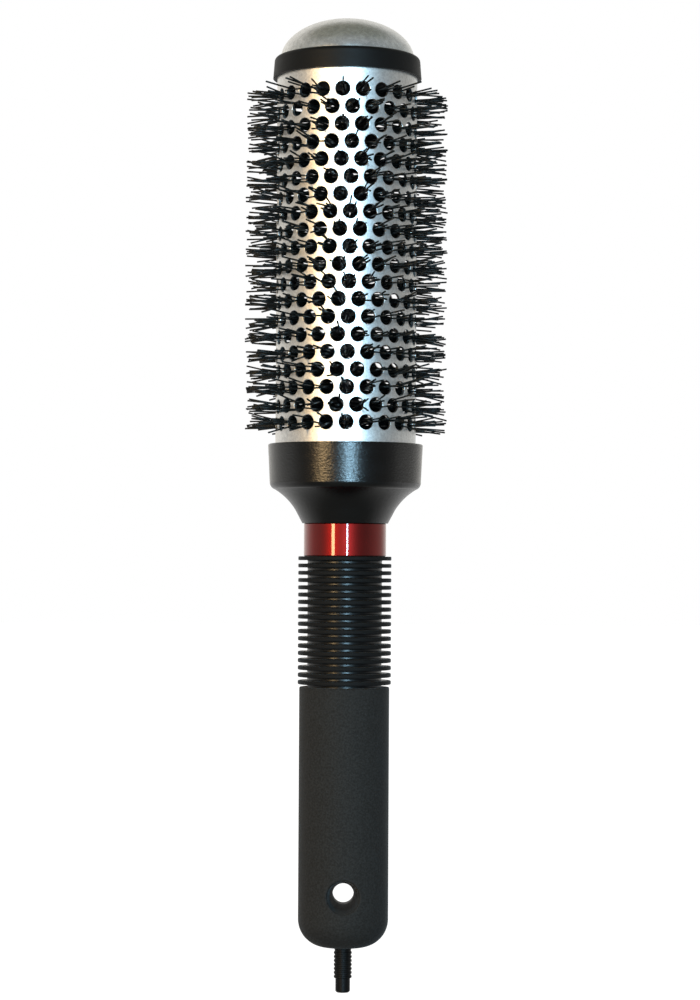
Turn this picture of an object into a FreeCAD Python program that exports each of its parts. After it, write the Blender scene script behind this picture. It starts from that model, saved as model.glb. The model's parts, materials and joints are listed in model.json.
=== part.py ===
import FreeCAD, Part
import math
import os

import Sketcher
from FreeCAD import Placement, Rotation, Vector

# Round barrel hair brush: a vented metal barrel with bristle tufts on a twisted wire stem, a flared
# collar, a handle core in two grip sleeves, and a small pick that pulls out of the handle's end.
#
# Frame: the brush's axis is Z, with the barrel up. The origin is at the pick's lower end, on the axis.
# The hanging hole runs along Y, and the brush's front faces -Y. Millimetres and degrees.

DIMENSIONS = {
    # heights of the brush's divisions, from the pick's lower end
    "handle_bottom": 12.3,
    "hole_height": 26.7,
    "smooth_top": 82.2,
    "ribbed_top": 117.45,
    "accent_top": 126.4,
    "collar_mouth": 147.8,
    "ring_bottom": 247.1,
    "barrel_top": 250.5,
    "ring_top": 252.8,
    # barrel
    "barrel_radius": 19.0,
    "barrel_wall": 0.8,
    "barrel_seat": 7.0,
    "vent_radius": 1.95,
    "vents_per_row": 22,
    "vent_rows": 20,
    "row_pitch": 4.655,
    "lowest_row": 153.0,
    "lowest_row_turn": 0.4,
    "row_drift": 0.22,
    # bristles and the wires that hold them
    "bristle_reach": 27.3,
    "tuft_root_radius": 0.25,
    "tuft_tip_radius": 0.8,
    "pinch_radius": 2.8,
    "pinch_thickness": 0.6,
    "wire_radius": 1.0,
    "wire_offset": 1.03,
    "wire_twist": 13.0,
    "wire_bore": 1.9,
    "wire_cover": 1.0,
    # collar
    "collar_foot_radius": 11.6,
    "collar_neck_radius": 13.5,
    "collar_neck_rise": 3.6,
    "collar_shoulder_radius": 19.1,
    "collar_shoulder_rise": 9.15,
    "collar_flare_radius": 16.7,
    "collar_wall_radius": 20.45,
    "collar_wall_rise": 10.75,
    "collar_crease_radius": 2.0,
    "collar_mouth_radius": 20.95,
    "collar_lip": 0.4,
    # handle
    "core_radius": 8.0,
    "accent_radius": 11.15,
    "accent_bevel": 0.25,
    "rib_radius": 12.6,
    "rib_thickness": 1.05,
    "rib_pitch": 1.968,
    "rib_count": 18,
    "rib_edge": 0.25,
    "rib_root": 0.25,
    "groove_radius": 10.05,
    "smooth_radius": 12.17,
    "smooth_edge": 0.3,
    "end_flat_radius": 5.0,
    "end_rise": 7.25,
    "end_round_radius": 7.4,
    "end_wall": 4.0,
    "hub_pin_radius": 5.0,
    "hub_pin_length": 10.0,
    "hub_rise": 8.0,
    # hanging hole
    "eye_radius": 2.85,
    "eye_land": 5.0,
    "eye_mouth_radius": 4.5,
    "eye_edge": 0.5,
    # tip
    "dome_radius": 18.2,
    "dome_height": 11.1,
    "dome_wall": 1.6,
    "dome_skirt": 1.6,
    "dome_socket_radius": 5.0,
    "dome_pin_radius": 3.0,
    "dome_pin_length": 6.0,
    "ring_low_radius": 20.15,
    "ring_high_radius": 19.8,
    "ring_edge": 1.2,
    "plug_thickness": 5.0,
    # pick
    "pick_nose_radius": 1.97,
    "pick_nose_length": 3.9,
    "pick_nose_bevel": 0.35,
    "pick_root_radius": 2.2,
    "pick_rib_radius": 2.42,
    "pick_rib_thickness": 0.6,
    "pick_rib_edge": 0.14,
    "pick_rib_pitch": 1.07,
    "pick_rib_count": 7,
    "pick_neck_radius": 2.3,
    "pick_neck_height": 11.5,
    "pick_shank_radius": 1.7,
    "pick_shank_length": 8.0,
    "socket_play": 0.05,
}

FULL_TURN = 360
HOLE_PROFILE_REACH = 14.0  # half the width of the hanging hole's cutting profile, beyond the grip


def make_sheet(doc):
    """The driving dimensions, one aliased cell each."""
    sheet = doc.addObject("Spreadsheet::Sheet", "Size")
    for row, (alias, value) in enumerate(DIMENSIONS.items(), start=1):
        sheet.set(f"A{row}", alias)
        sheet.set(f"B{row}", str(value))
        sheet.setAlias(f"B{row}", alias)
    doc.recompute()
    return sheet


def cells(formula):
    """A formula on dimension names, written for an expression: each name becomes a cell of the sheet."""
    words = formula.replace("(", " ( ").replace(")", " ) ").split()
    return " ".join(f"Size.{word}" if word in DIMENSIONS else word for word in words)


def value(formula):
    """The number that a formula on dimension names gives."""
    return float(FreeCAD.ActiveDocument.Size.evalExpression(cells(formula)))


def bind(target, path, formula):
    target.setExpression(path, cells(formula))


def new_body(doc, label):
    body = doc.addObject("PartDesign::Body", label)
    body.Label = label
    return body


def origin_plane(body, role):
    return next(item for item in body.Origin.OriginFeatures if item.Role == role)


def new_sketch(body, name, role="XZ_Plane"):
    """A sketch on one of the body's own planes. On XZ_Plane its x is the radius and its y the height."""
    sketch = body.newObject("Sketcher::SketchObject", name)
    sketch.AttachmentSupport = [(origin_plane(body, role), "")]
    sketch.MapMode = "FlatFace"
    return sketch


def arc_centre(start, end, radius, side):
    """The centre of an arc between two points. Side is 1 when it lies left of the way from start to end."""
    middle = (start + end) * 0.5
    chord = end - start
    lift = math.sqrt(radius**2 - (chord.Length / 2) ** 2)
    left = Vector(-chord.y, chord.x, 0).normalize()
    return middle + left * lift * side


def draw_edge(sketch, start, end, bend):
    """A line or an arc from start to end. Returns its number and the ends that touch start and end."""
    if bend is None:
        return sketch.addGeometry(Part.LineSegment(start, end), False), 1, 2
    radius, side = value(bend[0]), bend[1]
    centre = arc_centre(start, end, radius, side)
    angles = [math.atan2(p.y - centre.y, p.x - centre.x) for p in (start, end)]
    if side < 0:
        angles.reverse()
    circle = Part.Circle(centre, Vector(0, 0, 1), radius)
    edge = sketch.addGeometry(Part.ArcOfCircle(circle, angles[0], angles[1]), False)
    return (edge, 1, 2) if side > 0 else (edge, 2, 1)


def draw_profile(sketch, points):
    """A closed outline through points (x formula, y formula, bend of the edge that arrives there)."""
    places = [Vector(value(x), value(y), 0) for x, y, bend in points]
    edges = []
    for i, (x, y, bend) in enumerate(points):
        edges.append(draw_edge(sketch, places[i - 1], places[i], bend))
    for i, (x, y, bend) in enumerate(points):
        edge, first, last = edges[i]
        following, next_first, next_last = edges[(i + 1) % len(edges)]
        sketch.addConstraint(Sketcher.Constraint("Coincident", edge, last, following, next_first))
        for kind, formula, axis in (("DistanceX", x, -2), ("DistanceY", y, -1)):
            if formula == "0":
                sketch.addConstraint(Sketcher.Constraint("PointOnObject", edge, last, axis))
                continue
            number = sketch.addConstraint(
                Sketcher.Constraint(kind, -1, 1, edge, last, value(formula))
            )
            bind(sketch, f"Constraints[{number}]", formula)
        if bend is not None:
            number = sketch.addConstraint(Sketcher.Constraint("Radius", edge, value(bend[0])))
            bind(sketch, f"Constraints[{number}]", bend[0])


def revolve(body, name, points, kind="Revolution", axis="V_Axis", role="XZ_Plane"):
    """A turned feature, or with kind Groove a turned cut, about one of its sketch's axes."""
    sketch = new_sketch(body, f"{name}_outline", role)
    draw_profile(sketch, points)
    feature = body.newObject(f"PartDesign::{kind}", name)
    feature.Profile = sketch
    feature.ReferenceAxis = (sketch, [axis])
    feature.Angle = FULL_TURN
    body.Tip = feature
    return feature


def turned(doc, label, points):
    """A body that is one turned piece about Z."""
    body = new_body(doc, label)
    revolve(body, f"{label}_turned", points)
    return body


def repeat_up(body, feature, name, pitch, count):
    """Repeats a feature along Z, count times in all."""
    pattern = body.newObject("PartDesign::LinearPattern", name)
    pattern.Originals = [feature]
    pattern.Direction = (feature.Profile[0], ["V_Axis"])
    pattern.Mode = "Spacing"
    bind(pattern, "Offset", pitch)
    bind(pattern, "Occurrences", count)
    body.Tip = pattern
    return pattern


def cut_hanging_hole(body, name):
    """The hanging hole along Y: a straight land at the eye that opens out to both faces of the grip."""
    reach = str(HOLE_PROFILE_REACH)
    flare = "( eye_mouth_radius - eye_radius ) / ( smooth_radius - eye_land / 2 )"
    mouth = f"eye_radius + {flare} * ( {reach} - eye_land / 2 )"
    groove = revolve(
        body,
        name,
        [
            ("0", "0", None),
            (f"{reach} * 2", "0", None),
            (f"{reach} * 2", mouth, None),
            (f"{reach} + eye_land / 2", "eye_radius", None),
            (f"{reach} - eye_land / 2", "eye_radius", None),
            ("0", mouth, None),
        ],
        kind="Groove",
        axis="H_Axis",
        role="YZ_Plane",
    )
    sketch = groove.Profile[0]
    sketch.AttachmentOffset = Placement(Vector(-HOLE_PROFILE_REACH, value("hole_height"), 0), Rotation())
    bind(sketch, "AttachmentOffset.Base.y", "hole_height")
    return groove


def make_tip_dome(doc):
    """A hollow cap, half an ellipsoid over a short skirt, with a socket inside for the plug's pin.

    The half ellipsoids are spheres stretched by a matrix, so the cap is built from Part's functions.
    """
    skirt_bottom = value("barrel_top")
    equator = skirt_bottom + value("dome_skirt")
    outer_radius = value("dome_radius")
    outer_height = value("dome_height")
    wall = value("dome_wall")
    socket_radius = value("dome_socket_radius")
    pin_radius = value("dome_pin_radius")
    pin_length = value("dome_pin_length")

    def half_ellipsoid(radius, height):
        sphere = Part.makeSphere(1.0, Vector(), Vector(0, 0, 1), 0, 90, FULL_TURN)
        stretch = FreeCAD.Matrix()
        stretch.scale(radius, radius, height)
        shape = sphere.transformGeometry(stretch)
        shape.translate(Vector(0, 0, equator))
        return shape

    def skirt(radius):
        return Part.makeCylinder(radius, equator - skirt_bottom, Vector(0, 0, skirt_bottom))

    outer = half_ellipsoid(outer_radius, outer_height).fuse(skirt(outer_radius))
    inner = half_ellipsoid(outer_radius - wall, outer_height - wall).fuse(skirt(outer_radius - wall))
    boss = Part.makeCylinder(socket_radius, outer_height, Vector(0, 0, skirt_bottom)).common(outer)
    pin_space = Part.makeCylinder(pin_radius, pin_length, Vector(0, 0, skirt_bottom))
    dome = doc.addObject("Part::Feature", "tip_dome")
    dome.Shape = outer.cut(inner).fuse(boss).cut(pin_space).removeSplitter()
    dome.Label = "tip_dome"
    return dome


def make_tip_ring(doc):
    """A ring that overhangs the barrel, with a rounded top edge and an inner lip over the barrel's end."""
    step = "barrel_top"
    return turned(
        doc,
        "tip_ring",
        [
            ("barrel_radius", "ring_bottom", None),
            ("ring_low_radius", "ring_bottom", None),
            ("ring_high_radius", "ring_top - ring_edge", None),
            ("ring_high_radius - ring_edge", "ring_top", ("ring_edge", 1)),
            ("dome_radius", "ring_top", None),
            ("dome_radius", step, None),
            ("barrel_radius", step, None),
        ],
    )


def make_tip_plug(doc):
    """Closes the barrel's top end. Its bore is moulded round the wires' ends, and its pin holds the dome."""
    top = "barrel_top"
    return turned(
        doc,
        "tip_plug",
        [
            ("wire_bore", f"{top} - plug_thickness", None),
            ("barrel_radius - barrel_wall", f"{top} - plug_thickness", None),
            ("barrel_radius - barrel_wall", top, None),
            ("dome_pin_radius", top, None),
            ("dome_pin_radius", f"{top} + dome_pin_length", None),
            ("0", f"{top} + dome_pin_length", None),
            ("0", f"{top} - wire_cover", None),
            ("wire_bore", f"{top} - wire_cover", None),
        ],
    )


def row_height(row):
    return value(f"lowest_row + {row} * row_pitch")


def row_turn(row):
    """The angle of a row's first hole from the front. Each row drifts, and every other one is staggered."""
    stagger = 0.5 * FULL_TURN / value("vents_per_row") * (row % 2)
    return value(f"lowest_row_turn + {row} * row_drift") + stagger


def make_barrel_tube(doc):
    """The barrel: a thin tube, cut by one short radial cylinder for each vent hole."""
    outer = doc.addObject("Part::Cylinder", "barrel_outside")
    inner = doc.addObject("Part::Cylinder", "barrel_inside")
    bind(outer, "Radius", "barrel_radius")
    bind(inner, "Radius", "barrel_radius - barrel_wall")
    for cylinder in (outer, inner):
        bind(cylinder, "Height", "barrel_top - ( collar_mouth - barrel_seat )")
        bind(cylinder, "Placement.Base.z", "collar_mouth - barrel_seat")
    wall = doc.addObject("Part::Cut", "barrel_wall_tube")
    wall.Base = outer
    wall.Tool = inner

    reach_in = value("barrel_radius - 2 * barrel_wall")
    length = value("3 * barrel_wall")
    punches = []
    for row in range(int(value("vent_rows"))):
        for step in range(int(value("vents_per_row"))):
            turn = Rotation(Vector(0, 0, 1), row_turn(row) + step * FULL_TURN / value("vents_per_row"))
            outward = turn.multVec(Vector(0, -1, 0))
            start = outward * reach_in + Vector(0, 0, row_height(row))
            punches.append(Part.makeCylinder(value("vent_radius"), length, start, outward))
    vents = doc.addObject("Part::Feature", "vent_punches")
    vents.Shape = Part.makeCompound(punches)

    barrel = doc.addObject("Part::Cut", "barrel_tube")
    barrel.Base = wall
    barrel.Tool = vents
    barrel.Label = "barrel_tube"
    return barrel


def make_bristle_row(doc, row):
    """One row of tufts: a slim cone through each vent of the row, on the ring where the wires pinch them."""
    label = f"bristle_row_{row + 1:02d}"
    body = new_body(doc, label)
    revolve(
        body,
        f"{label}_pinch",
        [
            ("0", "0", None),
            ("pinch_radius", "0", None),
            ("pinch_radius", "pinch_thickness", None),
            ("0", "pinch_thickness", None),
        ],
    )
    tuft = revolve(
        body,
        f"{label}_tuft",
        [
            ("pinch_radius - 0.6", "0", None),
            ("bristle_reach", "0", None),
            ("bristle_reach", "tuft_tip_radius", None),
            ("pinch_radius - 0.6", "tuft_root_radius", None),
        ],
        axis="H_Axis",
        role="YZ_Plane",
    )
    bind(tuft.Profile[0], "AttachmentOffset.Base.y", "pinch_thickness / 2")
    doc.recompute()
    pattern = body.newObject("PartDesign::PolarPattern", f"{label}_tufts")
    pattern.Originals = [tuft]
    pattern.Axis = (body.Group[0], ["V_Axis"])
    pattern.Angle = FULL_TURN
    bind(pattern, "Occurrences", "vents_per_row")
    body.Tip = pattern
    body.Placement = Placement(
        Vector(0, 0, row_height(row)), Rotation(Vector(0, 0, 1), row_turn(row))
    )
    bind(body, "Placement.Base.z", f"lowest_row + {row} * row_pitch - pinch_thickness / 2")
    return body


def make_stem_wire(doc, number):
    """One of the two wires, a helix round Z. The second one starts half a turn from the first."""
    label = f"stem_wire_{number}"
    foot = "( collar_mouth - barrel_seat - hub_pin_length / 2 )"
    path = doc.addObject("Part::Helix", f"{label}_path")
    bind(path, "Radius", "wire_offset")
    bind(path, "Pitch", "wire_twist")
    bind(path, "Height", f"barrel_top - wire_cover - {foot}")
    section = doc.addObject("Part::Circle", f"{label}_section")
    bind(section, "Radius", "wire_radius")
    climb = math.atan2(value("wire_twist"), 2 * math.pi * value("wire_offset"))
    tilt = Rotation(Vector(1, 0, 0), 90 - math.degrees(climb))
    section.Placement = Placement(Vector(value("wire_offset"), 0, 0), tilt)
    wire = doc.addObject("Part::Sweep", label)
    wire.Sections = [section]
    wire.Spine = (path, ["Edge1"])
    wire.Solid = True
    wire.Frenet = True
    wire.Label = label
    half_turn = Rotation(Vector(0, 0, 1), 180 * (number - 1))
    wire.Placement = Placement(Vector(0, 0, value(foot)), half_turn)
    bind(wire, "Placement.Base.z", foot)
    return wire


def make_barrel_hub(doc):
    """Closes the barrel's bottom end. The wires are moulded into its bore, and its pin goes into the core."""
    seat = "collar_mouth - barrel_seat"
    return turned(
        doc,
        "barrel_hub",
        [
            ("0", f"{seat} - hub_pin_length", None),
            ("hub_pin_radius", f"{seat} - hub_pin_length", None),
            ("hub_pin_radius", seat, None),
            ("barrel_radius - barrel_wall", seat, None),
            ("barrel_radius - barrel_wall", f"{seat} + hub_rise", None),
            ("wire_bore", f"{seat} + hub_rise", None),
            ("wire_bore", f"{seat} - hub_pin_length / 2", None),
            ("0", f"{seat} - hub_pin_length / 2", None),
        ],
    )


def make_collar(doc):
    """The flared cup: a straight neck, a hollow flare, a shoulder, and a wall round the barrel's end."""
    foot = "accent_top"
    return turned(
        doc,
        "collar",
        [
            ("core_radius", foot, None),
            ("collar_foot_radius", foot, None),
            ("collar_neck_radius", f"{foot} + collar_neck_rise", None),
            ("collar_shoulder_radius", f"{foot} + collar_shoulder_rise", ("collar_flare_radius", -1)),
            ("collar_wall_radius", f"{foot} + collar_wall_rise", ("collar_crease_radius", 1)),
            ("collar_mouth_radius", "collar_mouth - collar_lip", None),
            ("collar_mouth_radius - collar_lip", "collar_mouth", ("collar_lip", 1)),
            ("barrel_radius", "collar_mouth", None),
            ("barrel_radius", "collar_mouth - barrel_seat", None),
            ("core_radius", "collar_mouth - barrel_seat", None),
        ],
    )


def make_accent_ring(doc):
    return turned(
        doc,
        "accent_ring",
        [
            ("core_radius", "ribbed_top", None),
            ("accent_radius - accent_bevel", "ribbed_top", None),
            ("accent_radius", "ribbed_top + accent_bevel", None),
            ("accent_radius", "accent_top - accent_bevel", None),
            ("accent_radius - accent_bevel", "accent_top", None),
            ("core_radius", "accent_top", None),
        ],
    )


def make_handle_core(doc):
    """The rod inside both grips: the pick's socket below, the eye through it, the hub's socket on top."""
    bottom = "handle_bottom + end_wall"
    top = "collar_mouth - barrel_seat"
    socket = "pick_shank_radius + socket_play"
    socket_end = "handle_bottom + pick_shank_length + 0.2"
    core = turned(
        doc,
        "handle_core",
        [
            (socket, bottom, None),
            ("core_radius", bottom, None),
            ("core_radius", top, None),
            ("hub_pin_radius", top, None),
            ("hub_pin_radius", f"{top} - hub_pin_length", None),
            ("0", f"{top} - hub_pin_length", None),
            ("0", socket_end, None),
            (socket, socket_end, None),
        ],
    )
    cut_hanging_hole(core, "core_eye")
    return core


def make_ribbed_grip(doc):
    """A thick sleeve cut by a row of grooves, which leaves thin ribs. The top rib is flush with its end."""
    grip = turned(
        doc,
        "ribbed_grip",
        [
            ("core_radius", "smooth_top", None),
            ("rib_radius", "smooth_top", None),
            ("rib_radius", "ribbed_top - rib_edge", None),
            ("rib_radius - rib_edge", "ribbed_top", ("rib_edge", 1)),
            ("core_radius", "ribbed_top", None),
        ],
    )
    middle = "( ribbed_top - rib_thickness / 2 - ( rib_count - 0.5 ) * rib_pitch )"
    low = f"( {middle} - ( rib_pitch - rib_thickness ) / 2 )"
    high = f"( {middle} + ( rib_pitch - rib_thickness ) / 2 )"
    lowest = revolve(
        grip,
        "grip_groove",
        [
            ("rib_radius", f"{low} - rib_edge", None),
            ("rib_radius - rib_edge", low, ("rib_edge", 1)),
            ("groove_radius + rib_root", low, None),
            ("groove_radius", f"{low} + rib_root", ("rib_root", -1)),
            ("groove_radius", f"{high} - rib_root", None),
            ("groove_radius + rib_root", high, ("rib_root", -1)),
            ("rib_radius - rib_edge", high, None),
            ("rib_radius", f"{high} + rib_edge", ("rib_edge", 1)),
            ("rib_radius + 1", f"{high} + rib_edge", None),
            ("rib_radius + 1", f"{low} - rib_edge", None),
        ],
        kind="Groove",
    )
    repeat_up(grip, lowest, "grip_grooves", "rib_pitch", "rib_count")
    return grip


def make_smooth_grip(doc):
    """A thick sleeve with a rounded end, a small bore for the pick and the hanging hole's wide mouths."""
    grip = turned(
        doc,
        "smooth_grip",
        [
            ("pick_shank_radius + socket_play", "handle_bottom", None),
            ("end_flat_radius", "handle_bottom", None),
            ("smooth_radius", "handle_bottom + end_rise", ("end_round_radius", 1)),
            ("smooth_radius", "smooth_top - smooth_edge", None),
            ("smooth_radius - smooth_edge", "smooth_top", ("smooth_edge", 1)),
            ("core_radius", "smooth_top", None),
            ("core_radius", "handle_bottom + end_wall", None),
            ("pick_shank_radius + socket_play", "handle_bottom + end_wall", None),
        ],
    )
    hole = cut_hanging_hole(grip, "grip_mouths")
    doc.recompute()
    mouths = []
    for number, edge in enumerate(hole.Shape.Edges, start=1):
        box = edge.BoundBox
        across = value("eye_mouth_radius")
        if abs(box.XLength / 2 - across) < 0.4 and abs(abs(box.Center.y) - value("smooth_radius")) < 1.5:
            mouths.append(f"Edge{number}")
    rounding = grip.newObject("PartDesign::Fillet", "mouth_rounding")
    rounding.Base = (hole, mouths)
    bind(rounding, "Radius", "eye_edge")
    grip.Tip = rounding
    return grip


def make_sectioning_pick(doc):
    """A smooth nose, a ribbed finger hold, a neck against the handle's end, and the hidden shank."""
    pick = turned(
        doc,
        "sectioning_pick",
        [
            ("0", "0", None),
            ("pick_nose_radius - pick_nose_bevel", "0", None),
            ("pick_nose_radius", "pick_nose_bevel", None),
            ("pick_nose_radius", "pick_nose_length", None),
            ("pick_root_radius", "pick_nose_length", None),
            ("pick_root_radius", "pick_neck_height", None),
            ("pick_neck_radius", "pick_neck_height", None),
            ("pick_neck_radius", "handle_bottom", None),
            ("pick_shank_radius", "handle_bottom", None),
            ("pick_shank_radius", "handle_bottom + pick_shank_length", None),
            ("0", "handle_bottom + pick_shank_length", None),
        ],
    )
    low = "pick_nose_length"
    high = "pick_nose_length + pick_rib_thickness"
    rib = revolve(
        pick,
        "pick_rib",
        [
            ("pick_root_radius - 0.5", low, None),
            ("pick_rib_radius - pick_rib_edge", low, None),
            ("pick_rib_radius", f"{low} + pick_rib_edge", ("pick_rib_edge", 1)),
            ("pick_rib_radius", f"{high} - pick_rib_edge", None),
            ("pick_rib_radius - pick_rib_edge", high, ("pick_rib_edge", 1)),
            ("pick_root_radius - 0.5", high, None),
        ],
    )
    repeat_up(pick, rib, "pick_ribs", "pick_rib_pitch", "pick_rib_count")
    return pick


def check(doc, parts):
    """Stops the build if an object failed to recompute or a sub-part has no sound shape."""
    for item in doc.Objects:
        if "Invalid" in item.State or "Error" in item.State:
            raise RuntimeError(f"{item.Label} did not recompute: {item.State}")
    for part in parts:
        if part.Shape.isNull() or not part.Shape.isValid() or not part.Shape.Solids:
            raise RuntimeError(f"{part.Label} has no sound shape")


def main():
    os.makedirs("parts", exist_ok=True)
    doc = FreeCAD.newDocument("round_barrel_brush")
    make_sheet(doc)
    parts = [
        make_tip_dome(doc),
        make_tip_ring(doc),
        make_tip_plug(doc),
        make_barrel_tube(doc),
        make_stem_wire(doc, 1),
        make_stem_wire(doc, 2),
        make_barrel_hub(doc),
        make_collar(doc),
        make_accent_ring(doc),
        make_handle_core(doc),
        make_ribbed_grip(doc),
        make_smooth_grip(doc),
        make_sectioning_pick(doc),
    ]
    for row in range(int(value("vent_rows"))):
        parts.append(make_bristle_row(doc, row))
    doc.recompute()
    check(doc, parts)
    for part in parts:
        part.Shape.exportStep(f"parts/{part.Label}.step")
        print(f"{part.Label}: {len(part.Shape.Solids)} solid, {part.Shape.Volume:.1f} mm3")


main()
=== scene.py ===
import json
import math
import random

import bmesh
import bpy
from mathutils import Euler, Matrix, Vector


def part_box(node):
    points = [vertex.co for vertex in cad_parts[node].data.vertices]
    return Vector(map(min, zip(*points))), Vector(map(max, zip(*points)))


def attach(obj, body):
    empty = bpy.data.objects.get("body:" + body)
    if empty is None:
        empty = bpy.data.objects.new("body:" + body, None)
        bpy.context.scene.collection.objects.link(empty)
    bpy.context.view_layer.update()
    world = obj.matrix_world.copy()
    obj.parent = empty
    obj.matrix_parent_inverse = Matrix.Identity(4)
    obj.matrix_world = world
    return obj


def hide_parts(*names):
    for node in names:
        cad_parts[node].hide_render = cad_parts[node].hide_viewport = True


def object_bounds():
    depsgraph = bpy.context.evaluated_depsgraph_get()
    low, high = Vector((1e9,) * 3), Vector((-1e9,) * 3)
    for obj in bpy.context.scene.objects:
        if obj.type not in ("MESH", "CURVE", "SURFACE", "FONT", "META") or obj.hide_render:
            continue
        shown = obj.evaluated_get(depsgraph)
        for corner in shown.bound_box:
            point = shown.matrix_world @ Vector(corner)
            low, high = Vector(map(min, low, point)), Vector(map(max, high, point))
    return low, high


# Round barrel hair brush, upright in a bright studio. The brush's axis is Z, its front faces -Y, and the
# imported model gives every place. Metres.

MM = 0.001
SEED = 7
FULL_TURN = 2 * math.pi
QUARTER_TURN = math.pi / 2
SHARP_CORNER = math.radians(55)

# The barrel's vents, as in the CAD model: rows of equal holes, each row turned from the one below it.
VENTS_PER_ROW = 22
VENT_STEP = math.radians(360 / VENTS_PER_ROW)
VENT_RADIUS = 1.95 * MM
LOWEST_ROW_TURN = math.radians(0.4)
ROW_DRIFT = math.radians(0.22)
BARREL_WALL = 0.8 * MM

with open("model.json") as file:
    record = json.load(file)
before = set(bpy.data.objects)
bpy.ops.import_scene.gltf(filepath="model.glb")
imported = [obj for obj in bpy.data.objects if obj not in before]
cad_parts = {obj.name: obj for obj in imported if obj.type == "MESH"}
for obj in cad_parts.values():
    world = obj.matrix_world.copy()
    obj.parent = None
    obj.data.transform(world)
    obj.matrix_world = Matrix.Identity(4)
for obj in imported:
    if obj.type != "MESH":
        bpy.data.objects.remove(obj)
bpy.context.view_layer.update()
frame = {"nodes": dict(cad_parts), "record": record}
nodes = frame["nodes"]
random.seed(SEED)


# ---------------------------------------------------------------- frame measures


def middle_height(node):
    low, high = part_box(node)
    return (low.z + high.z) / 2


def outer_radius(node):
    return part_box(node)[1].x


ROW_NODES = sorted(name for name in nodes if name.startswith("bristle_row_"))
ROW_HEIGHTS = [middle_height(name) for name in ROW_NODES]
ROW_PITCH = (ROW_HEIGHTS[-1] - ROW_HEIGHTS[0]) / (len(ROW_HEIGHTS) - 1)
BARREL_RADIUS = outer_radius("barrel_tube")
BRISTLE_REACH = outer_radius(ROW_NODES[0])
RIB_RADIUS = outer_radius("ribbed_grip")


def row_turn(row):
    """The angle of a row's first vent from the front."""
    return LOWEST_ROW_TURN + row * ROW_DRIFT + 0.5 * VENT_STEP * (row % 2)


def around(angle, radius, height):
    """A point at an angle from the front, turning towards +X."""
    return Vector((radius * math.sin(angle), -radius * math.cos(angle), height))


# ---------------------------------------------------------------- node helpers

# A Mix node's sockets when it mixes colours.
MIX_FACTOR, MIX_FIRST, MIX_SECOND, MIX_RESULT = 0, 6, 7, 2

# A noise node's values lie mostly within the narrow range, and nearly all within the wide one.
NARROW = {"start": 0.35, "end": 0.65}
WIDE = {"start": 0.3, "end": 0.7}


def rgb(red, green, blue):
    return (red, green, blue, 1.0)


def grey(level):
    return rgb(level, level, level)


def plug(tree, socket, value):
    """Gives a socket a fixed value or the output of another node."""
    if isinstance(value, (tuple, float)):
        socket.default_value = value
    else:
        tree.links.new(value, socket)


def mix(tree, factor, first, second):
    """A colour between two. Each argument is a fixed value or an output."""
    node = tree.nodes.new("ShaderNodeMix")
    node.data_type = "RGBA"
    for socket, value in ((MIX_FACTOR, factor), (MIX_FIRST, first), (MIX_SECOND, second)):
        plug(tree, node.inputs[socket], value)
    return node.outputs[MIX_RESULT]


def between(tree, output, low, high, start=0.0, end=1.0, curve="LINEAR"):
    """Maps a value from start..end to low..high."""
    node = tree.nodes.new("ShaderNodeMapRange")
    node.interpolation_type = curve
    for name, value in {"From Min": start, "From Max": end, "To Min": low, "To Max": high}.items():
        node.inputs[name].default_value = value
    tree.links.new(output, node.inputs["Value"])
    return node.outputs["Result"]


def seen_directly(tree):
    """1 for what the camera sees itself, 0 for what only lights the scene or shows in a reflection."""
    return tree.nodes.new("ShaderNodeLightPath").outputs["Is Camera Ray"]


class Shader:
    """A node material with one Principled shader, and short calls for the nodes that feed it.

    The keywords give the shader's fixed inputs, with _ for each space in their names.
    """

    def __init__(self, name, **fixed):
        self.material = bpy.data.materials.new(name)
        self.material.use_nodes = True
        self.tree = self.material.node_tree
        self.principled = self.tree.nodes["Principled BSDF"]
        self.place = self.tree.nodes.new("ShaderNodeTexCoord").outputs["Object"]
        for socket, value in fixed.items():
            self.principled.inputs[socket.replace("_", " ")].default_value = value

    def feed(self, socket, output):
        self.tree.links.new(output, self.principled.inputs[socket])

    def new(self, kind, **settings):
        node = self.tree.nodes.new(kind)
        for name, value in settings.items():
            setattr(node, name, value)
        return node

    def axes(self):
        """The outputs X, Y and Z of the object coordinates."""
        node = self.new("ShaderNodeSeparateXYZ")
        self.tree.links.new(self.place, node.inputs["Vector"])
        return node.outputs

    def z_scaled(self, scale):
        """Object coordinates scaled along Z. A pattern on them is longer below 1 and shorter above."""
        node = self.new("ShaderNodeMapping")
        node.inputs["Scale"].default_value = (1.0, 1.0, scale)
        self.tree.links.new(self.place, node.inputs["Vector"])
        return node.outputs["Vector"]

    def from_axis(self):
        """The distance from the brush's axis."""
        node = self.new("ShaderNodeVectorMath", operation="LENGTH")
        self.tree.links.new(self.z_scaled(0.0), node.inputs[0])
        return node.outputs["Value"]

    def noise(self, scale, detail=3.0, roughness=0.5, place=None):
        node = self.new("ShaderNodeTexNoise")
        for name, value in {"Scale": scale, "Detail": detail, "Roughness": roughness}.items():
            node.inputs[name].default_value = value
        self.tree.links.new(place or self.place, node.inputs["Vector"])
        return node.outputs["Fac"]

    def between(self, output, low, high, **span):
        return between(self.tree, output, low, high, **span)

    def mix(self, factor, first, second):
        return mix(self.tree, factor, first, second)

    def maths(self, operation, *values):
        node = self.new("ShaderNodeMath", operation=operation)
        for socket, value in zip(node.inputs, values):
            plug(self.tree, socket, value)
        return node.outputs["Value"]

    def add(self, first, second):
        return self.maths("ADD", first, second)

    def bump(self, height, distance, strength):
        node = self.new("ShaderNodeBump")
        node.inputs["Distance"].default_value = distance
        node.inputs["Strength"].default_value = strength
        self.tree.links.new(height, node.inputs["Height"])
        self.feed("Normal", node.outputs["Normal"])


# ---------------------------------------------------------------- materials


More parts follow.
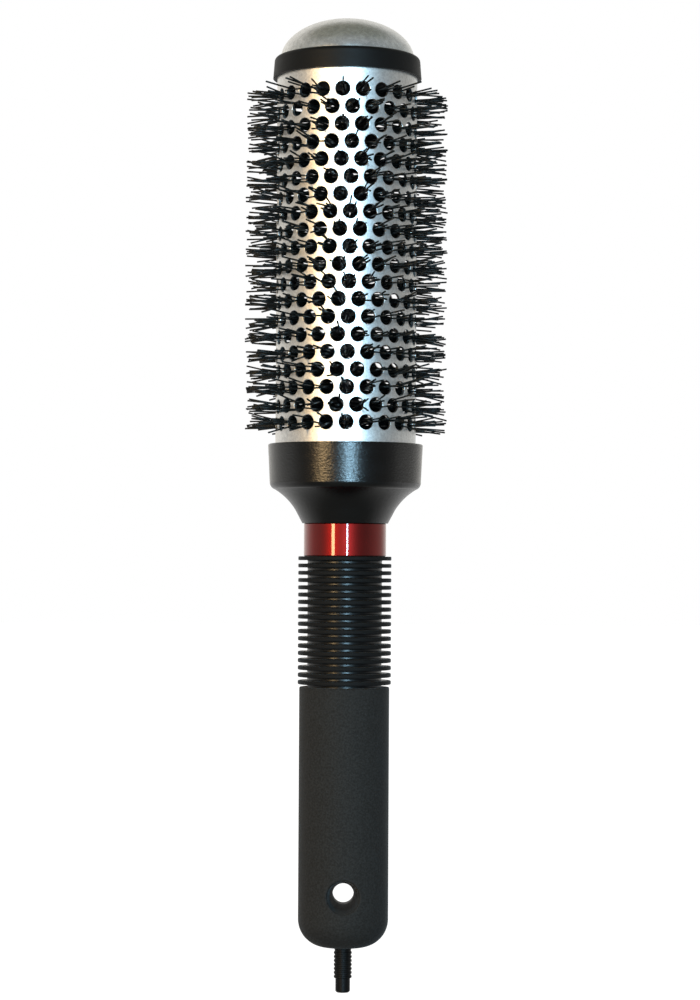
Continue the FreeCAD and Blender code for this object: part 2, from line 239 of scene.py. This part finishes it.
def brushed_aluminium():
    """Satin aluminium with fine upright brush lines, a blasted grain and faint smudges; rougher inside,
    where its inner wall is coloured dark as painted shade.
    """
    shader = Shader("brushed_aluminium", Metallic=1.0, Anisotropic=0.6)
    lines = shader.noise(scale=2400.0, detail=4.0, roughness=0.65, place=shader.z_scaled(0.012))
    grain = shader.noise(scale=2600.0, detail=2.0)
    blast = shader.noise(scale=1500.0, roughness=0.7)
    smudge = shader.noise(scale=70.0, detail=4.0, roughness=0.6, place=shader.z_scaled(0.5))
    streaked = shader.add(shader.between(lines, 0.0, 0.3), shader.between(smudge, 0.0, 0.3))
    speckled = shader.add(streaked, shader.between(blast, -0.2, 0.6, **NARROW))
    skin = shader.mix(speckled, rgb(0.65, 0.645, 0.635), rgb(0.93, 0.92, 0.90))
    wall = {"start": BARREL_RADIUS - BARREL_WALL, "end": BARREL_RADIUS - BARREL_WALL / 2}
    inside = shader.between(shader.from_axis(), 1.0, 0.0, **wall)
    # Painted shade: the inner wall, seen through the vents, gets a dark grey far below aluminium's own
    # brightness.
    shader.feed("Base Color", shader.mix(inside, skin, grey(0.16)))
    rough = shader.add(shader.between(lines, 0.32, 0.41), shader.between(smudge, -0.04, 0.04))
    shader.feed("Roughness", shader.add(rough, shader.between(inside, 0.0, 0.3)))
    tangent = shader.new("ShaderNodeTangent", direction_type="RADIAL", axis="Z")
    shader.feed("Tangent", tangent.outputs["Tangent"])
    shader.bump(shader.add(lines, grain), distance=0.006 * MM, strength=0.5)
    return shader.material


def dome_paint():
    """Silver-grey metallic paint, satin, with a fine flake."""
    shader = Shader("dome_paint", Metallic=0.78)
    flake = shader.noise(scale=3200.0, detail=2.0, roughness=0.6)
    cloud = shader.noise(scale=70.0)
    mottle = shader.noise(scale=850.0, detail=4.0, roughness=0.7)
    speckled = shader.add(shader.between(flake, 0.0, 0.3), shader.between(mottle, 0.0, 0.7, **NARROW))
    paint = shader.mix(speckled, rgb(0.50, 0.50, 0.49), rgb(0.88, 0.88, 0.86))
    shader.feed("Base Color", shader.mix(shader.between(cloud, 0.0, 0.3), paint, rgb(0.64, 0.63, 0.60)))
    rough = shader.add(shader.between(cloud, 0.21, 0.28), shader.between(mottle, -0.04, 0.04))
    shader.feed("Roughness", rough)
    shader.bump(flake, distance=0.008 * MM, strength=0.4)
    return shader.material


def satin_plastic(name, level, rough, specular, peel_height=0.06 * MM):
    """Black moulded plastic with a fine spark-eroded skin and slight handling marks."""
    shader = Shader(name, Specular_IOR_Level=specular)
    peel = shader.noise(scale=1800.0, roughness=0.6)
    marks = shader.noise(scale=130.0, detail=5.0, roughness=0.65, place=shader.z_scaled(2.5))
    shader.feed("Base Color", shader.mix(marks, grey(level * 0.8), grey(level * 1.3)))
    shader.feed("Roughness", shader.between(marks, *rough, **WIDE))
    shader.bump(peel, distance=peel_height, strength=0.6)
    return shader.material


def red_anodised():
    """Bright turned aluminium under a clear red anodised layer."""
    shader = Shader("red_anodised", Metallic=1.0, Coat_Weight=1.0, Coat_Roughness=0.04)
    lines = shader.noise(scale=60.0, roughness=0.7, place=shader.z_scaled(260.0))
    tint = shader.noise(scale=160.0, detail=2.0)
    shader.feed("Base Color", shader.mix(tint, rgb(0.20, 0.006, 0.005), rgb(0.25, 0.010, 0.008)))
    shader.feed("Roughness", shader.between(lines, 0.40, 0.46))
    shader.bump(lines, distance=0.0015 * MM, strength=0.5)
    return shader.material


def rubber(name, level, rough, grain_size, grain_height, warmth, specular, dull_beyond=None):
    """Moulded rubber with a fine grain, slightly uneven in tone where hands have worn it.

    Beyond the radius dull_beyond, where hands rub it, its skin is duller.
    """
    shader = Shader(name, Specular_IOR_Level=specular, Sheen_Weight=0.06, Sheen_Roughness=0.4)
    grain = shader.noise(scale=1.0 / grain_size, roughness=0.6)
    wear = shader.noise(scale=90.0, detail=4.0, roughness=0.6)
    grained = shader.between(grain, 0.0, 0.75, **NARROW)
    worn = shader.between(wear, 0.0, 0.25, **WIDE)
    dark, light = (
        rgb(level * (tone + warmth), level * tone, level * (tone - warmth)) for tone in (0.6, 1.4)
    )
    shader.feed("Base Color", shader.mix(shader.add(grained, worn), dark, light))
    roughness = shader.between(wear, *rough, **WIDE)
    if dull_beyond:
        rim = {"start": dull_beyond - 0.5 * MM, "end": dull_beyond}
        dull = shader.between(shader.from_axis(), 0.0, 1.0, **rim)
        roughness = shader.add(roughness, shader.between(dull, 0.0, 0.35))
        shader.feed("Specular IOR Level", shader.between(dull, 0.5, 0.2))
    shader.feed("Roughness", roughness)
    shader.bump(grain, distance=grain_height, strength=0.6)
    return shader.material


def nylon():
    """Black bristle nylon, each filament slightly glossy and a little uneven."""
    shader = Shader("bristle_nylon", Specular_IOR_Level=0.3)
    tone = shader.noise(scale=400.0, detail=2.0)
    shader.feed("Base Color", shader.mix(tone, rgb(0.002, 0.003, 0.003), rgb(0.008, 0.010, 0.010)))
    shader.feed("Roughness", shader.between(tone, 0.34, 0.5))
    return shader.material


def drawn_steel():
    """Bright drawn wire with marks along its length."""
    shader = Shader("drawn_steel", Metallic=1.0)
    marks = shader.noise(scale=900.0, roughness=0.6, place=shader.z_scaled(0.1))
    shader.feed("Base Color", shader.mix(marks, grey(0.42), grey(0.62)))
    shader.feed("Roughness", shader.between(marks, 0.25, 0.4))
    return shader.material


RIBBED_RUBBER = {
    "level": 0.005,
    "rough": (0.29, 0.37),
    "grain_size": 0.3 * MM,
    "grain_height": 0.006 * MM,
    "warmth": 0.0,
    "specular": 0.33,
    "dull_beyond": RIB_RADIUS - 0.7 * MM,
}
GRIP_RUBBER = {
    "level": 0.022,
    "rough": (0.70, 0.82),
    "grain_size": 0.5 * MM,
    "grain_height": 0.06 * MM,
    "warmth": 0.07,
    "specular": 0.2,
}
GLOSSY_PLASTIC = {"level": 0.001, "rough": (0.20, 0.26), "specular": 0.68, "peel_height": 0.11 * MM}

MATERIALS = {
    "barrel_aluminium": brushed_aluminium(),
    "dome_paint": dome_paint(),
    "black_plastic": satin_plastic("black_plastic", **GLOSSY_PLASTIC),
    "ring_plastic": satin_plastic("ring_plastic", level=0.004, rough=(0.48, 0.58), specular=0.24),
    "core_plastic": satin_plastic("core_plastic", level=0.002, rough=(0.5, 0.6), specular=0.25),
    "pick_plastic": satin_plastic("pick_plastic", level=0.003, rough=(0.44, 0.54), specular=0.22),
    "red_anodised": red_anodised(),
    "ribbed_rubber": rubber("ribbed_rubber", **RIBBED_RUBBER),
    "grip_rubber": rubber("grip_rubber", **GRIP_RUBBER),
    "bristle_nylon": nylon(),
    "stem_steel": drawn_steel(),
}


def slot_of(node):
    return next(part["material_slot"] for part in frame["record"]["subparts"] if part["node"] == node)


def dress_cad_nodes():
    """Each CAD node gets its own slot's material."""
    for name, piece in nodes.items():
        piece.data.materials.clear()
        piece.data.materials.append(MATERIALS[slot_of(name)])


# ---------------------------------------------------------------- mesh helpers


def new_piece(name, mesh, slot):
    """A smooth-shaded object that rides on the brush and takes a slot's material."""
    piece = bpy.data.objects.new(name, mesh)
    bpy.context.scene.collection.objects.link(piece)
    mesh.materials.append(MATERIALS[slot])
    mesh.polygons.foreach_set("use_smooth", [True] * len(mesh.polygons))
    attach(piece, "brush")
    return piece


def mesh_from(name, points, faces):
    mesh = bpy.data.meshes.new(name)
    mesh.from_pydata([tuple(p) for p in points], [], faces)
    mesh.validate()
    return mesh


def join_rings(faces, rings):
    """Adds quads between each closed ring of point numbers and the next."""
    for ring, next_ring in zip(rings, rings[1:]):
        for i in range(len(ring)):
            j = (i + 1) % len(ring)
            faces.append((ring[i], ring[j], next_ring[j], next_ring[i]))


# ---------------------------------------------------------------- barrel

CELL_SIDE_STEPS = 6
HALF_EDGE_STEPS = 4
SAME_HEIGHT = 1e-9
MERGE_SCALE = 1e7  # points that agree when scaled by this and rounded are one point
VENT_RIM = [  # distance beyond the vent's radius, depth below the skin
    (0.26 * MM, 0.0),
    (0.16 * MM, 0.0),
    (0.07 * MM, 0.02 * MM),
    (0.02 * MM, 0.07 * MM),
    (0.0, 0.16 * MM),
    (0.0, BARREL_WALL - 0.08 * MM),
    (0.08 * MM, BARREL_WALL),
]


def vent_cell_border():
    """The border of one vent's cell, anticlockwise from outside, as (angle, height) from its centre.

    Cells lie like bricks in a wall, so a cell's top and bottom edges have a joint where two cells meet.
    """
    half_width, half_height = VENT_STEP / 2, ROW_PITCH / 2
    corners = [
        (half_width, -half_height, CELL_SIDE_STEPS),
        (half_width, half_height, HALF_EDGE_STEPS),
        (ROW_DRIFT, half_height, HALF_EDGE_STEPS),
        (-half_width, half_height, CELL_SIDE_STEPS),
        (-half_width, -half_height, HALF_EDGE_STEPS),
        (-ROW_DRIFT, -half_height, HALF_EDGE_STEPS),
    ]
    border = []
    for i, (angle, height, steps) in enumerate(corners):
        next_angle, next_height, _ = corners[(i + 1) % len(corners)]
        for step in range(steps):
            part = step / steps
            border.append((angle + (next_angle - angle) * part, height + (next_height - height) * part))
    return border


class BarrelSurface:
    """The barrel's points and faces. Cells share the points where they meet."""

    def __init__(self):
        self.points, self.faces, self.numbers = [], [], {}

    def vertex(self, angle, height, depth):
        """The number of the point at an angle and height, at a depth below the barrel's skin."""
        point = around(angle, BARREL_RADIUS - depth, height)
        key = tuple(round(c * MERGE_SCALE) for c in point)
        if key not in self.numbers:
            self.numbers[key] = len(self.points)
            self.points.append(point)
        return self.numbers[key]

    def add_cell(self, border, centre, row_height):
        """One vent with the skin round it, its rounded rim and wall, and the inside round it."""
        rings = [[self.vertex(centre + a, row_height + h, 0.0) for a, h in border]]
        for beyond, depth in VENT_RIM:
            radius = VENT_RADIUS + beyond
            ring = []
            for a, h in border:
                direction = math.atan2(h, a * BARREL_RADIUS)
                angle = centre + math.cos(direction) * radius / BARREL_RADIUS
                ring.append(self.vertex(angle, row_height + math.sin(direction) * radius, depth))
            rings.append(ring)
        rings.append([self.vertex(centre + a, row_height + h, BARREL_WALL) for a, h in border])
        join_rings(self.faces, rings)

    def close_end(self, border, centre, row_height, end, side):
        """The plain band from an end row's cell to the tube's end: outside, across the end and inside.

        Side is 1 at the top end and -1 at the bottom end.
        """
        edge_height = side * ROW_PITCH / 2
        inner = row_height + edge_height
        edge = sorted(a for a, h in border if abs(h - edge_height) < SAME_HEIGHT)
        stations = [(inner, 0.0), (end, 0.0), (end, BARREL_WALL), (inner, BARREL_WALL)]
        for a, b in zip(edge, edge[1:]):
            for (z0, depth0), (z1, depth1) in zip(stations, stations[1:]):
                face = [
                    self.vertex(centre + a, z0, depth0),
                    self.vertex(centre + b, z0, depth0),
                    self.vertex(centre + b, z1, depth1),
                    self.vertex(centre + a, z1, depth1),
                ]
                self.faces.append(tuple(face if side > 0 else reversed(face)))


def make_barrel():
    """The perforated tube, cell by cell."""
    surface = BarrelSurface()
    border = vent_cell_border()
    low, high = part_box("barrel_tube")
    for row, row_height in enumerate(ROW_HEIGHTS):
        for step in range(VENTS_PER_ROW):
            centre = row_turn(row) + step * VENT_STEP
            surface.add_cell(border, centre, row_height)
            if row == 0:
                surface.close_end(border, centre, row_height, low.z, -1)
            if row == len(ROW_HEIGHTS) - 1:
                surface.close_end(border, centre, row_height, high.z, 1)
    mesh = mesh_from("barrel_shell", surface.points, surface.faces)
    barrel = new_piece("barrel_shell", mesh, "barrel_aluminium")
    barrel.data.set_sharp_from_angle(angle=SHARP_CORNER)
    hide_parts("barrel_tube")


# ---------------------------------------------------------------- ribbed grip

# The sleeve's ribs, as in the CAD model.
RIB_COUNT = 18
RIB_PITCH = 1.968 * MM
RIB_THICKNESS = 1.05 * MM
RIB_ROUNDING = 0.25 * MM
ROUNDING_STEPS = 4
GROOVE_RADIUS = 10.05 * MM
SLEEVE_BORE = 8.0 * MM
SLEEVE_SIDES = 160


def rounding(radius, height, start, sweep):
    """Points along a rounded corner of the profile, given the arc's centre, as (radius, height)."""
    turns = [start + sweep * step / ROUNDING_STEPS for step in range(ROUNDING_STEPS + 1)]
    return [(radius + RIB_ROUNDING * math.cos(t), height + RIB_ROUNDING * math.sin(t)) for t in turns]


def sleeve_profile():
    """The sleeve's outline as (radius, height), up its outside. The top rib is flush with its end."""
    low, high = (corner.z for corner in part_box("ribbed_grip"))
    edge = RIB_RADIUS - RIB_ROUNDING
    root = GROOVE_RADIUS + RIB_ROUNDING
    profile = [(SLEEVE_BORE, low), (GROOVE_RADIUS, low)]
    for below_top in reversed(range(RIB_COUNT)):
        top = high - below_top * RIB_PITCH
        bottom = top - RIB_THICKNESS
        profile += rounding(root, bottom - RIB_ROUNDING, 2 * QUARTER_TURN, -QUARTER_TURN)
        profile += rounding(edge, bottom + RIB_ROUNDING, -QUARTER_TURN, QUARTER_TURN)
        profile += rounding(edge, top - RIB_ROUNDING, 0.0, QUARTER_TURN)
        if below_top:
            profile += rounding(root, top + RIB_ROUNDING, -QUARTER_TURN, -QUARTER_TURN)
    return profile + [(SLEEVE_BORE, high)]


def make_ribbed_sleeve():
    points, faces, rings = [], [], []
    for radius, height in sleeve_profile():
        rings.append(range(len(points), len(points) + SLEEVE_SIDES))
        for side in range(SLEEVE_SIDES):
            points.append(around(FULL_TURN * side / SLEEVE_SIDES, radius, height))
    join_rings(faces, rings + rings[:1])
    sleeve = new_piece("ribbed_sleeve", mesh_from("ribbed_sleeve", points, faces), "ribbed_rubber")
    sleeve.data.set_sharp_from_angle(angle=SHARP_CORNER)
    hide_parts("ribbed_grip")


# ---------------------------------------------------------------- bristles

BRISTLE_RADIUS = 0.24 * MM
BRISTLE_SIDES = 6
BRISTLES_PER_VENT = (3, 5)
ROOT_RADIUS = 1.6 * MM
ROOT_RISE = 0.5  # the most that a root lies above or below its vent, as a share of the row pitch
HALF_WAY_OUT = 0.55  # as a share of the barrel's radius
VENT_SPREAD = VENT_RADIUS - 2.0 * BRISTLE_RADIUS

# How wide a tuft is half way out, inside the barrel's wall and at its tips, where it is 1 in the vents.
TUFT_HALF_WAY, TUFT_INSIDE_WALL, TUFT_AT_TIPS = 0.5, 0.97, 1.2

TIP_SPLAY = (0.5 * MM, 0.8 * MM)  # across, up
WIDEST_SPLAY = 1.8 * MM
BOW = 0.04  # how far a filament's middle lags behind its splayed tip, as a share of the splay
LONGEST = BRISTLE_REACH + 0.3 * MM
SHORTFALL = 0.9 * MM  # how much shorter than the longest most filaments are, at most
GREATEST_SHORTFALL = 2.8 * MM


def tube_along(points, faces, path, radius):
    """Adds a closed tube along a path of points that is never upright."""
    rings = []
    for i, place in enumerate(path):
        ahead = (path[min(i + 1, len(path) - 1)] - path[max(i - 1, 0)]).normalized()
        side = ahead.cross(Vector((0, 0, 1))).normalized()
        other = ahead.cross(side)
        ring = []
        for k in range(BRISTLE_SIDES):
            turn = FULL_TURN * k / BRISTLE_SIDES
            ring.append(len(points))
            points.append(place + (side * math.cos(turn) + other * math.sin(turn)) * radius)
        rings.append(ring)
    join_rings(faces, rings)
    faces.append(tuple(reversed(rings[0])))
    faces.append(tuple(rings[-1]))


def random_splay(usual):
    return max(-WIDEST_SPLAY, min(WIDEST_SPLAY, random.gauss(0, usual)))


def bristle_path(angle, height):
    """One filament: pinched at the stem, free in its vent, then nearly straight to a splayed tip."""
    spread = VENT_SPREAD * math.sqrt(random.random())
    lean = random.uniform(0, FULL_TURN)
    at_vent = Vector((math.cos(lean), math.sin(lean))) * spread
    tip = LONGEST - min(abs(random.gauss(0, SHORTFALL)), GREATEST_SHORTFALL)
    splay = Vector([random_splay(usual) for usual in TIP_SPLAY])
    at_tip = at_vent * TUFT_AT_TIPS + splay
    half_way = at_vent.lerp(at_tip, 0.5) - splay * BOW
    root_rise = random.uniform(-ROOT_RISE, ROOT_RISE) * ROW_PITCH
    out = around(angle, 1.0, 0.0)
    across = Vector((math.cos(angle), math.sin(angle), 0.0))

    def at(radius, offset, rise=0.0):
        return out * radius + across * offset.x + Vector((0, 0, height + rise + offset.y))

    return [
        at(ROOT_RADIUS, Vector((0, 0)), root_rise),
        at(BARREL_RADIUS * HALF_WAY_OUT, at_vent * TUFT_HALF_WAY, root_rise / 2),
        at(BARREL_RADIUS - BARREL_WALL, at_vent * TUFT_INSIDE_WALL),
        at(BARREL_RADIUS, at_vent),
        at((BARREL_RADIUS + tip) / 2, half_way),
        at(tip, at_tip),
    ]


def make_bristle_rows():
    for row, (node, height) in enumerate(zip(ROW_NODES, ROW_HEIGHTS)):
        points, faces = [], []
        for step in range(VENTS_PER_ROW):
            angle = row_turn(row) + step * VENT_STEP
            for _ in range(random.randint(*BRISTLES_PER_VENT)):
                tube_along(points, faces, bristle_path(angle, height), BRISTLE_RADIUS)
        name = node.replace("bristle_row", "bristles")
        piece = new_piece(name, mesh_from(name, points, faces), "bristle_nylon")
        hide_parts(node)


# ---------------------------------------------------------------- studio

CAMERA_DISTANCE = 733 * MM
CAMERA_HEIGHT = 116.5 * MM
CAMERA_TILT = math.radians(1.27)
CAMERA_ROLL = math.radians(0.3)
CAMERA_ASIDE = 1.3 * MM
CAMERA_REACH = (0.01, 50)
FOCAL_PER_HEIGHT = 2.707  # focal length over the height of the picture
SENSOR_HEIGHT = 24.0

COOL_KEY = {
    "bearing": 6.5,
    "distance": 1.1,
    "height": 0.225,
    "width": 0.07,
    "tall": 0.65,
    "watts": 10.5,
    "colour": (0.45, 0.77, 1.0),
}
WARM_SIDE = {
    "bearing": -33.0,
    "distance": 1.2,
    "height": 0.33,
    "width": 0.18,
    "tall": 0.44,
    "watts": 6.4,
    "colour": (1.0, 0.68, 0.33),
}

# The room's colours. Its light side is turned a little to the left.
ROOM_TURN = math.radians(10)
ROOM_IN_FRONT = rgb(0.15, 0.15, 0.155)
ROOM_BESIDE = rgb(0.38, 0.37, 0.34)
ROOM_BEHIND = rgb(1.0, 0.98, 0.93)
CEILING_IN_FRONT = rgb(0.26, 0.26, 0.255)
CEILING_BEHIND = rgb(0.11, 0.10, 0.055)

FLOOR_DROP = 45 * MM
FLOOR_RADIUS = 6.0
FLOOR_SIDES = 96


def make_camera():
    data = bpy.data.cameras.new("camera")
    data.sensor_fit = "VERTICAL"
    data.sensor_height = SENSOR_HEIGHT
    data.lens = SENSOR_HEIGHT * FOCAL_PER_HEIGHT
    data.clip_start, data.clip_end = CAMERA_REACH
    camera = bpy.data.objects.new("camera", data)
    camera.location = (CAMERA_ASIDE, -CAMERA_DISTANCE, CAMERA_HEIGHT)
    upright = Euler((QUARTER_TURN + CAMERA_TILT, 0, 0)).to_matrix()
    camera.rotation_euler = (upright @ Euler((0, 0, CAMERA_ROLL)).to_matrix()).to_euler()
    bpy.context.scene.collection.objects.link(camera)
    bpy.context.scene.camera = camera


def make_light(name, bearing, distance, height, width, tall, watts, colour):
    """A tall soft box aimed level at the brush's axis. Bearing is its angle to the right of the camera."""
    data = bpy.data.lights.new(name, "AREA")
    data.shape = "RECTANGLE"
    data.size = width
    data.size_y = tall
    data.energy = watts
    data.color = colour
    light = bpy.data.objects.new(name, data)
    light.location = around(math.radians(bearing), distance, height)
    aim = Vector((0, 0, height)) - light.location
    light.rotation_euler = aim.to_track_quat("-Z", "Y").to_euler()
    bpy.context.scene.collection.objects.link(light)


def make_world():
    """The white backdrop, and the room that lights the brush: dim in front, light behind, brown above."""
    world = bpy.data.worlds.new("studio")
    world.use_nodes = True
    bpy.context.scene.world = world
    tree = world.node_tree
    turned = tree.nodes.new("ShaderNodeMapping")
    turned.inputs["Rotation"].default_value = (0.0, 0.0, -ROOM_TURN)
    direction = tree.nodes.new("ShaderNodeTexCoord").outputs["Generated"]
    tree.links.new(direction, turned.inputs["Vector"])
    axes = tree.nodes.new("ShaderNodeSeparateXYZ")
    tree.links.new(turned.outputs["Vector"], axes.inputs["Vector"])

    def fade(axis, start, end):
        """0 where the view's direction has start on an axis, 1 where it has end, smooth between."""
        return between(tree, axes.outputs[axis], 0.0, 1.0, start, end, "SMOOTHSTEP")

    room = mix(tree, fade("Y", -1.0, 0.3), ROOM_IN_FRONT, ROOM_BESIDE)
    room = mix(tree, fade("Y", 0.2, 1.0), room, ROOM_BEHIND)
    ceiling = mix(tree, fade("Y", -0.65, -0.15), CEILING_IN_FRONT, CEILING_BEHIND)
    room = mix(tree, fade("Z", 0.64, 0.92), room, ceiling)
    colour = mix(tree, seen_directly(tree), room, grey(1.0))
    tree.links.new(colour, tree.nodes["Background"].inputs["Color"])


def floor_white():
    """A white sheet, pure white where seen directly. A painted glow, stronger further behind the brush and
    to its sides, lights the brush from the sheet.
    """
    shader = Shader("floor_white", Roughness=0.9, Emission_Color=grey(1.0))
    tone = shader.noise(scale=3.0, detail=2.0)
    shader.feed("Base Color", shader.mix(tone, grey(0.21), grey(0.25)))
    axes = shader.axes()
    aside = shader.between(shader.maths("ABSOLUTE", axes["X"]), 0.0, 0.5)
    # Painted glow: the sheet itself gives off light, more further behind the brush and to its sides.
    glow = shader.between(shader.add(axes["Y"], aside), 0.0, 0.65, start=0.02, end=0.35)
    shader.feed("Emission Strength", shader.maths("MAXIMUM", seen_directly(shader.tree), glow))
    return shader.material


def make_floor():
    """A wide round sheet below the brush."""
    mesh = bpy.data.meshes.new("floor")
    build = bmesh.new()
    bmesh.ops.create_circle(build, cap_ends=True, segments=FLOOR_SIDES, radius=FLOOR_RADIUS)
    build.to_mesh(mesh)
    build.free()
    mesh.materials.append(floor_white())
    floor = bpy.data.objects.new("floor", mesh)
    floor.location.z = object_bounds()[0][2] - FLOOR_DROP
    bpy.context.scene.collection.objects.link(floor)


def make_studio():
    make_camera()
    make_world()
    make_floor()
    make_light("cool_key", **COOL_KEY)
    make_light("warm_side", **WARM_SIDE)
    bpy.context.scene.view_settings.view_transform = "Standard"


dress_cad_nodes()
make_barrel()
make_ribbed_sleeve()
make_bristle_rows()
make_studio()
